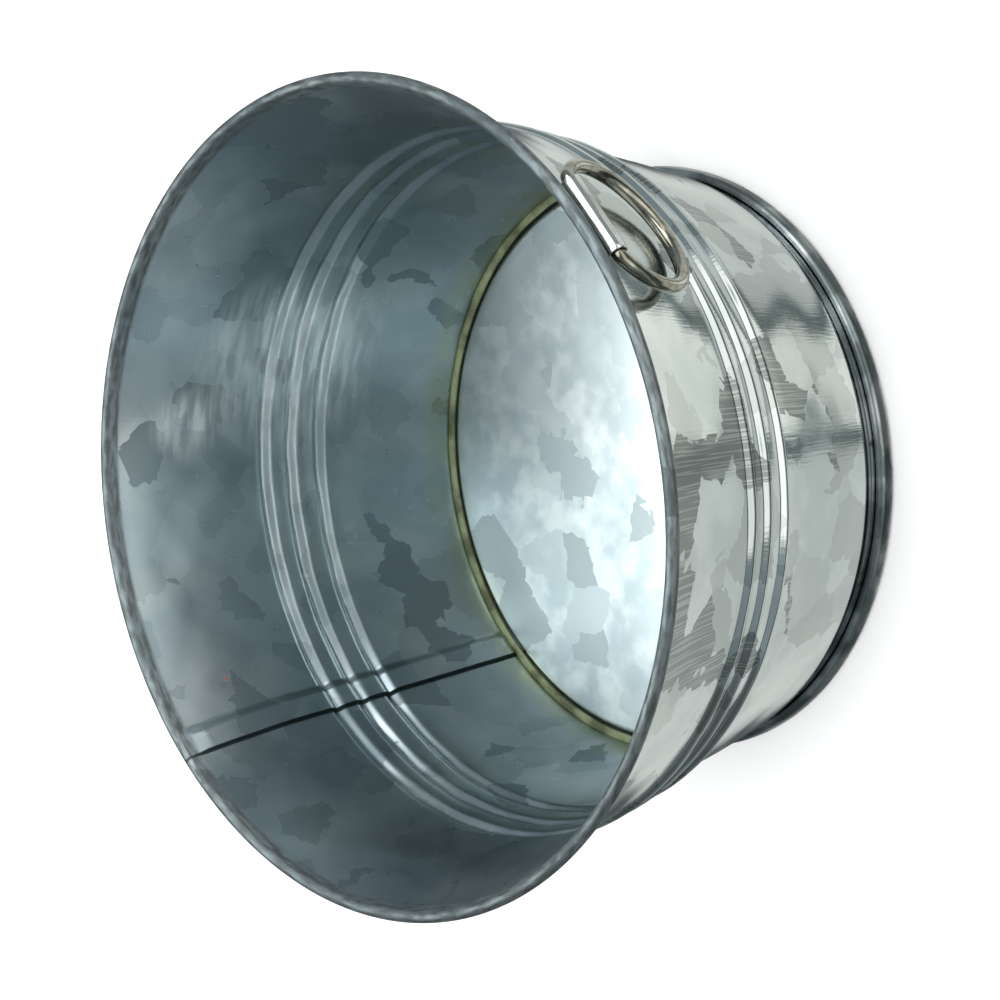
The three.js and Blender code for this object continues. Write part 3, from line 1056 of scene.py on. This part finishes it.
    def dress(self, piece: bpy.types.Object, wire: bpy.types.Object) -> None:
        """Give the wall and its wire their finishes and places in the frame.

        Args:
            piece: the wall.
            wire: the rim wire.
        """
        spots = (RustSpot((-62.6, 10.0, 60.0)), RustSpot((64.4, -9.0, 62.5), 0.3))
        # the first is painted highlight along the beads inside; the second is sheet rubbed bright near the
        # rim
        rubs = (RubbedPatch((-28.0, 50.5, 41.0), 21.0), RubbedPatch((-40.5, 48.5, 58.0), 8.0))
        zinc = UsedWallZinc("hot_dip_galvanised_rolled_sheet", spots=spots, rubs=rubs)
        piece.data.materials.append(zinc.build())
        wire.data.materials.append(DrawnSteel("drawn_steel_rim_wire").build())
        for part, node, slot in ((piece, "body_wall", "zinc_wall"), (wire, "rim_wire", "rim_wire")):
            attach(part, "bucket")
            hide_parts(node)


# ---- Bottom ----

@dataclass
class Bottom:
    """The bottom pan, whose hem wraps the wall's edge as the foot bead, and the bead of sealing compound."""

    foot: float                         # height of the resting plane
    foot_radius: float                  # outside of the foot bead
    sheet: float = 0.4
    floor_top: float = 8.5
    floor_corner: float = 0.8
    skirt_radius: float = 47.9
    inner_corner: float = 0.5
    outer_corner: float = 1.0
    bead_height: float = 3.4
    floor_sag: float = 0.12             # how far the middle of the floor hangs down
    floor_sag_radius: float = 47.0
    floor_waves: tuple[Wave, ...] = (
        (0.09, 0.13, 0.09, 0.3), (0.06, 0.07, 0.19, 1.7), (0.03, 0.31, 0.27, 4.0),
    )
    seal_radius: float = 49.3
    seal_height: float = 8.15
    seal_half_width: float = 0.75
    seal_half_height: float = 0.45
    seal_waves: tuple[Wave, ...] = ((0.09, 7, 1, 0.4), (0.08, 13, 1, 2.2), (0.05, 31, 1, 4.4))

    def centre_line(self) -> Array:
        """Centre line of the pan: floor, corner, skirt, and the hem's round turn.

        Returns:
            Radius and height of each point, from the axis out.
        """
        half = self.sheet / 2
        floor = self.floor_top - half
        low = self.foot + half
        high = self.bead_height - half
        outside = self.foot_radius - half
        corner = (self.skirt_radius - self.floor_corner, floor - self.floor_corner)
        inner = (self.skirt_radius + self.inner_corner, low + self.inner_corner)
        outer = outside - self.outer_corner
        disc = np.column_stack([np.linspace(0.4, corner[0], 30), np.full(30, floor)])
        skirt = np.column_stack([np.full(8, self.skirt_radius), np.linspace(corner[1], inner[1], 9)[1:]])
        return np.vstack([
            disc,
            arc(corner, self.floor_corner, 90, 0, 8),
            skirt,
            arc(inner, self.inner_corner, 180, 270, 6),
            [[outer, low]],
            arc((outer, low + self.outer_corner), self.outer_corner, -90, 0, 10),
            [[outside, high - self.outer_corner]],
            arc((outer, high - self.outer_corner), self.outer_corner, 0, 90, 10),
        ])

    def build_pan(self) -> bpy.types.Object:
        """Carry the pan's section round the axis, with shallow dishing left by the press.

        Returns:
            The pan.
        """
        line = self.centre_line()
        loop = sheet_loop(line, self.sheet)
        turn = np.linspace(0, 2 * np.pi, 257)[None, :-1]
        radius, height = loop[:, None, 0], loop[:, None, 1]
        on_floor = (1 - smooth_step(radius, 38.0, 46.5)) * smooth_step(height, 7.6, 8.0)
        east, north = radius * np.cos(turn), radius * np.sin(turn)
        bowl = self.floor_sag * (1 - (radius / self.floor_sag_radius) ** 2)
        dish = (ripple(east, north, self.floor_waves) - bowl) * on_floor
        section = np.stack(np.broadcast_arrays(radius, height + dish), -1)
        # The first and last rows ring the axis, and take a cap each.
        return Grid(revolve(section, turn), wrap_rows=False).build("galvanised_bottom_pan")

    def build_seal(self) -> bpy.types.Object:
        """Carry an oval round the corner of floor and wall, thicker in some places than in others.

        Returns:
            The bead of sealing compound.
        """
        turn = np.linspace(0, 2 * np.pi, 385)[None, :-1]
        around = np.linspace(0, 2 * np.pi, 17)[:-1, None]
        uneven = 1 + ripple(turn, np.zeros_like(turn), self.seal_waves)
        radius = self.seal_radius + self.seal_half_width * uneven * np.cos(around)
        height = self.seal_height + self.seal_half_height * uneven * np.sin(around)
        section = np.stack([np.minimum(radius, self.seal_radius + self.seal_half_width), height], -1)
        return Grid(revolve(section, turn)).build("sealing_bead")

    def dress(self, pan: bpy.types.Object, seal: bpy.types.Object) -> None:
        """Give the pan and the bead their finishes and places in the frame.

        Args:
            pan: the bottom pan.
            seal: the bead of sealing compound.
        """
        # pressed zinc, with painted shade on its foot bead
        zinc = StandingPanZinc(
            "hot_dip_galvanised_pressed_sheet", light="#e1e6e6", pale="#bfc9cc", middle="#c3ccce",
            dark="#adb7ba", ruled="#b4bec0", cloud=6.0, line_height=0.006, roughness=0.34,
        )
        pan.data.materials.append(zinc.build())
        seal.data.materials.append(SealingCompound("latex_sealing_compound").build())
        for part, node, slot in ((pan, "bottom_pan", "zinc_pan"), (seal, "bottom_seal", "seal")):
            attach(part, "bucket")
            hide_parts(node)


# ---- Handles ----

class Side(Enum):
    """Where a handle stands: its name in the frame and its angle round the bucket in degrees."""

    FRONT = ("front", 0.0)
    SEAM = ("seam_side", 180.0)

    @property
    def label(self) -> str:
        """Name of the side."""
        return self.value[0]

    @property
    def angle(self) -> float:
        """Angle of the side in radians."""
        return math.radians(self.value[1])


@dataclass
class Handle:
    """A D-ring that swings in a rolled sleeve under the rim."""

    side: Side
    axis_radius: float                  # of the hinge axis from the bucket's axis
    axis_height: float
    wire_diameter: float = 2.4
    ring_radius: float = 12.45
    leg_half: float = 8.3
    bend: float = 1.3
    butt_gap: float = 0.4
    lean: float = 18.3                  # degrees in from plumb, where the ring rests by the wall
    sleeve_length: float = 15.2
    sleeve_sheet: float = 0.35
    bore_play: float = 0.2
    edge_corner: float = 0.14           # radius of the strip's rounded edges
    slit: float = 50.0                  # degrees of the sleeve's open slit, on the bucket's side

    def place(self, points: Array) -> Array:
        """Carry points given round the hinge axis to their side of the bucket.

        Args:
            points: places with the hinge along Y through the origin and +X away from the bucket.

        Returns:
            Places in the frame.
        """
        moved = points + np.array([self.axis_radius, 0, self.axis_height])
        cosine, sine = math.cos(self.side.angle), math.sin(self.side.angle)
        turn = np.array([[cosine, sine, 0], [-sine, cosine, 0], [0, 0, 1]])
        return moved @ turn

    def outline(self) -> Array:
        """Outline of the ring in its own plane: half a leg, a bend, the bow, and the same back.

        Returns:
            Distance along the leg and distance down from it, for each point.
        """
        drop = math.sqrt(self.ring_radius ** 2 - self.leg_half ** 2)
        turn = math.asin(self.leg_half / self.ring_radius)
        setback = self.bend * math.tan(turn / 2)
        start = -math.pi / 2 + turn + setback / self.ring_radius
        leg_end = self.leg_half - setback
        bow = arc((0, drop), self.ring_radius, math.degrees(start), 180 - math.degrees(start), 96)
        t = np.linspace(0, 1, 13)[:, None]
        bow_start = np.array([0, drop]) + self.ring_radius * np.array([math.cos(start), math.sin(start)])
        corner = (1 - t) ** 2 * [leg_end, 0] + 2 * t * (1 - t) * [self.leg_half, 0] + t ** 2 * bow_start
        leg = np.column_stack([np.linspace(self.butt_gap / 2, leg_end, 10)[:-1], np.zeros(9)])
        return np.vstack([leg, corner, bow[:-1], (corner * [-1, 1])[::-1], (leg * [-1, 1])[::-1]])

    def build_ring(self) -> bpy.types.Object:
        """Carry a round section along the outline: cosine along its right, sine along the plane's normal.

        Returns:
            The D-ring.
        """
        outline = self.outline()
        lean = math.radians(self.lean)
        down = np.array([-math.sin(lean), 0, -math.cos(lean)])
        along = np.array([0, 1.0, 0])
        across = np.cross(along, down)
        normals = right_normals(outline)
        middle = outline[:, :1] * along + outline[:, 1:] * down
        outward = normals[:, :1] * along + normals[:, 1:] * down
        around = np.linspace(0, 2 * np.pi, 25)[:-1, None, None]
        radius = self.wire_diameter / 2
        places = middle + radius * (np.cos(around) * outward + np.sin(around) * across)
        return Grid(self.place(places), wrap_columns=False).build(f"{self.side.label}_d_ring")

    def build_sleeve(self) -> bpy.types.Object:
        """Carry the strip's rounded section round the hinge axis, from one edge of the slit to the other.

        Returns:
            The rolled sleeve.
        """
        inner = self.wire_diameter / 2 + self.bore_play
        outer = inner + self.sleeve_sheet
        corner = self.edge_corner
        half = self.sleeve_length / 2
        run = np.linspace(-half + corner, half - corner, 20)[1:]
        outside = np.column_stack([-run, np.full(19, outer)])
        inside = np.column_stack([run, np.full(19, inner)])
        section = np.vstack([
            arc((half - corner, outer - corner), corner, 0, 90, 4),
            outside,
            arc((-half + corner, outer - corner), corner, 90, 180, 4),
            arc((-half + corner, inner + corner), corner, 180, 270, 4),
            inside,
            arc((half - corner, inner + corner), corner, 270, 360, 4),
        ])
        turn = np.radians(np.linspace(180 + self.slit / 2, 540 - self.slit / 2, 73))[None, :]
        along, radius = section[:, None, 0], section[:, None, 1]
        shape = np.broadcast_arrays(radius * np.cos(turn), along, radius * np.sin(turn))
        sleeve = Grid(self.place(np.stack(shape, -1)), wrap_columns=False)
        return sleeve.build(f"{self.side.label}_rolled_sleeve")

    def dress(self, ring: bpy.types.Object, sleeve: bpy.types.Object) -> None:
        """Give the ring and the sleeve their finishes and places in the frame.

        Args:
            ring: the D-ring.
            sleeve: the rolled sleeve.
        """
        ring.data.materials.append(DrawnSteel(f"drawn_steel_{self.side.label}_ring").build())
        sleeve.data.materials.append(PlatedStrip(f"nickel_plated_{self.side.label}_strip").build())
        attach(ring, f"{self.side.label}_handle")
        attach(sleeve, "bucket")
        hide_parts(f"{self.side.label}_ring")
        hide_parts(f"{self.side.label}_sleeve")


# ---- Studio ----

@dataclass(frozen=True)
class SoftBox:
    """A soft rectangle of light, or of dark card, that the metal reflects.

    Its middle lies in a direction from the bucket; its half width and half height are tangents of angles.
    """

    azimuth: float
    elevation: float
    half_width: float
    half_height: float
    edge: float                         # softness of its edge, in the same unit
    colour: str
    strength: float

    def axes(self) -> tuple[Vector, Vector, Vector]:
        """Work out its directions.

        Returns:
            Unit vectors to its middle, along its width and along its height.
        """
        azimuth, elevation = math.radians(self.azimuth), math.radians(self.elevation)
        flat = math.cos(elevation)
        middle = Vector((flat * math.cos(azimuth), flat * math.sin(azimuth), math.sin(elevation)))
        level = Vector((-math.sin(azimuth), math.cos(azimuth), 0))
        return (middle, level, middle.cross(level))

    def share(self, tree: bpy.types.NodeTree, direction: Link) -> Link:
        """Work out how far a direction lies in the box.

        Its parts along the box's width and height, each divided by its part towards the box's middle, are
        both to be inside the box's half sizes.

        Args:
            tree: node tree of the world.
            direction: direction from the bucket.

        Returns:
            1 in the box and 0 outside it.
        """
        ahead, left, up = (
            add(tree, "ShaderNodeVectorMath", {"operation": "DOT_PRODUCT"}, {0: direction, 1: axis})
            .outputs["Value"] for axis in self.axes()
        )
        share = add(tree, "ShaderNodeMath", {"operation": "GREATER_THAN"}, {0: ahead, 1: 0.0})
        for part, half in ((left, self.half_width), (up, self.half_height)):
            slope = add(tree, "ShaderNodeMath", {"operation": "DIVIDE"}, {0: part, 1: ahead})
            away = add(tree, "ShaderNodeMath", {"operation": "ABSOLUTE"}, {0: slope})
            inputs = {"Value": away, "From Min": half + self.edge / 2, "From Max": half - self.edge / 2}
            inside = add(tree, "ShaderNodeMapRange", SMOOTH, inputs)
            share = add(tree, "ShaderNodeMath", {"operation": "MULTIPLY"}, {0: share, 1: inside})
        return share


@dataclass
class Studio:
    """Pale floor, soft lights and the camera."""

    target: Place = (-4.76, -0.39, 40.05)
    azimuth: float = -34.05             # direction from the target to the camera
    elevation: float = 42.66
    roll: float = 98.16
    distance: float = 939.75
    lens: float = 201.6
    floor_half: float = 3000.0
    paper: str = "#ffffff"
    paper_shade: str = "#fbfcfc"
    paper_grain: float = 0.01           # height of the paper's grain
    paper_light: float = 1.75           # light that falls on the floor, which shows it as white
    surround: str = "#bac9ce"           # what the metal sees where there is no softbox
    surround_light: float = 0.62
    boxes: tuple[SoftBox, ...] = (
        # A pale sweep under everything, which gives the open wall its light grey.
        SoftBox(-34, -89.9, 2.6, 2.6, 1.6, "#f1f5f0", 0.93),
        # Dark cards across the back and the left, low: the deep grey of the inside below the rim.
        SoftBox(160, 20, 1.5, 0.26, 0.14, "#55666c", 0.6),
        SoftBox(-150, 38, 0.36, 0.2, 0.14, "#66777d", 0.8),
        # High to the right and over the mouth beyond the bucket: they light the bucket's floor and the rim.
        SoftBox(30, 67, 0.36, 0.38, 0.2, "#fafffe", 3.3),
        SoftBox(146, 59, 0.36, 0.3, 0.16, "#fafffe", 3.4),
        # Low and to the front: the highlights along the beads, the foot and the ring.
        SoftBox(-20, 6, 0.9, 0.36, 0.14, "#fffefa", 1.7),
        # To the side: the streak down the inside, the bright strip along the sleeve and the bow of the ring.
        SoftBox(41, 37, 0.27, 0.24, 0.06, "#ffffff", 4.0),
        # Dark cards in front and behind, which draw the foot bead, the neck and the edges of the beads.
        SoftBox(-34, -42, 0.95, 0.27, 0.14, "#6a7476", 0.6),
        SoftBox(-130, -38, 1.0, 0.24, 0.2, "#727a7b", 0.75),
        SoftBox(-140, 0, 0.9, 0.36, 0.25, "#6c7476", 0.7),
        SoftBox(148, -46, 0.27, 0.42, 0.12, "#5d6c70", 0.5),
        # Dark frame and bright panel below, which the open wall shows as a bright patch.
        SoftBox(56, -80.6, 0.325, 0.21, 0.05, "#536b70", 0.7),
        SoftBox(56, -80.6, 0.275, 0.15, 0.03, "#fdfff7", 1.22),
    )

    def build_camera(self) -> bpy.types.Object:
        """Point a long lens at the target and roll it.

        Returns:
            The camera.
        """
        azimuth, elevation, roll = (math.radians(x) for x in (self.azimuth, self.elevation, self.roll))
        flat = math.cos(elevation)
        back = Vector((flat * math.cos(azimuth), flat * math.sin(azimuth), math.sin(elevation)))
        level = (-back).cross(Vector((0, 0, 1))).normalized()
        rising = level.cross(-back)
        up = rising * math.cos(roll) + level * math.sin(roll)
        right = (-back).cross(up)
        data = bpy.data.cameras.new("camera")
        data.lens = self.lens
        data.sensor_width = 36.0
        data.clip_start = 0.01
        data.clip_end = 20.0
        camera = bpy.data.objects.new("camera", data)
        bpy.context.scene.collection.objects.link(camera)
        place = Vector(self.target) * MM + back * self.distance * MM
        camera.matrix_world = Matrix.Translation(place) @ Matrix((right, up, back)).transposed().to_4x4()
        bpy.context.scene.camera = camera
        return camera

    def build_floor(self, height: float) -> bpy.types.Object:
        """Lay the pale paper floor, which the metal doesn't mirror.

        Args:
            height: height of the floor in metres.

        Returns:
            The floor.
        """
        side = np.array([-1.0, 1.0]) * self.floor_half
        east, north = np.meshgrid(side, side)
        places = np.stack([east, north, np.full_like(east, height / MM)], -1)
        mesh = bpy.data.meshes.new("paper_floor")
        mesh.from_pydata((places.reshape(-1, 3) * MM).tolist(), [], [(0, 1, 3, 2)])
        floor = bpy.data.objects.new("paper_floor", mesh)
        bpy.context.scene.collection.objects.link(floor)
        graph = Graph("seamless_matte_paper")
        mm = graph.millimetres(False)
        shaded = graph.clouds(mm, (40.0, 40.0, 40.0))
        base = graph.coats(linear(self.paper), (shaded, linear(self.paper_shade)))
        inputs = {0: graph.clouds(mm, (0.6, 0.6, 0.6)), 1: self.paper_grain}
        grain = add(graph.tree, "ShaderNodeMath", {"operation": "MULTIPLY"}, inputs)
        floor.data.materials.append(graph.finish(base, 0.9, grain, 0.0))
        floor.visible_glossy = False
        floor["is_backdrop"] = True
        return floor

    def build_world(self) -> bpy.types.World:
        """Light the floor evenly, and give the metal softboxes and dark cards to mirror.

        Returns:
            The world.
        """
        world = bpy.data.worlds.new("soft_studio")
        bpy.context.scene.world = world
        world.use_nodes = True
        tree = world.node_tree
        tree.nodes.clear()
        direction = add(tree, "ShaderNodeTexCoord").outputs["Generated"]
        glossy = add(tree, "ShaderNodeLightPath").outputs["Is Glossy Ray"]
        seen = self.lit(self.surround, self.surround_light)
        for box in self.boxes:
            share = box.share(tree, direction)
            inputs = {Mix.FACTOR: share, Mix.COLOUR_A: seen, Mix.COLOUR_B: self.lit(box.colour, box.strength)}
            seen = add(tree, "ShaderNodeMix", {"data_type": "RGBA"}, inputs).outputs[Mix.COLOUR_OUT]
        paper = self.lit(self.paper, self.paper_light)
        inputs = {Mix.FACTOR: glossy, Mix.COLOUR_A: paper, Mix.COLOUR_B: seen}
        final = add(tree, "ShaderNodeMix", {"data_type": "RGBA"}, inputs).outputs[Mix.COLOUR_OUT]
        background = add(tree, "ShaderNodeBackground", inputs={"Color": final, "Strength": 1.0})
        add(tree, "ShaderNodeOutputWorld", inputs={"Surface": background})
        return world

    def lit(self, colour: str, strength: float) -> Colour:
        """Scale a colour's light by a strength."""
        red, green, blue, alpha = linear(colour)
        return (red * strength, green * strength, blue * strength, alpha)

    def build(self, floor_height: float) -> None:
        """Build the camera, the floor and the world.

        Args:
            floor_height: height of the floor in metres.
        """
        self.build_camera()
        self.build_floor(floor_height)
        self.build_world()
        bpy.context.scene.view_settings.view_transform = "Standard"


def report(piece: bpy.types.Object) -> None:
    """Log a piece's name and size.

    Args:
        piece: a finished piece.
    """
    size = " x ".join(f"{side / MM:.1f}" for side in piece.dimensions)
    log.info("%s: %d faces, %s mm", piece.name, len(piece.data.polygons), size)


def main() -> None:
    """Build the bucket over its frame, dress it, and set the studio."""
    logging.basicConfig(level=logging.INFO)
    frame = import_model()
    cad_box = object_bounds()
    wall_low, wall_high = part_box("body_wall")
    pan_low, pan_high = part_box("bottom_pan")
    wall = Wall(rim_radius=wall_high.y / MM, rim_top=wall_high.z / MM)
    sheet, wire = wall.build(), wall.build_wire()
    wall.dress(sheet, wire)
    bottom = Bottom(foot=pan_low.z / MM, foot_radius=pan_high.x / MM)
    pan, seal = bottom.build_pan(), bottom.build_seal()
    bottom.dress(pan, seal)
    for piece in (sheet, wire, pan, seal):
        report(piece)
    hinges = {joint["child"]: joint["pos_m"] for joint in frame["joints"]}
    for side in Side:
        hinge = hinges[f"{side.label}_handle"]
        handle = Handle(side, axis_radius=math.hypot(hinge[0], hinge[1]) / MM, axis_height=hinge[2] / MM)
        ring, sleeve = handle.build_ring(), handle.build_sleeve()
        handle.dress(ring, sleeve)
        report(ring)
        report(sleeve)
    Studio().build(cad_box[0].z)


if __name__ == "__main__":
    main()
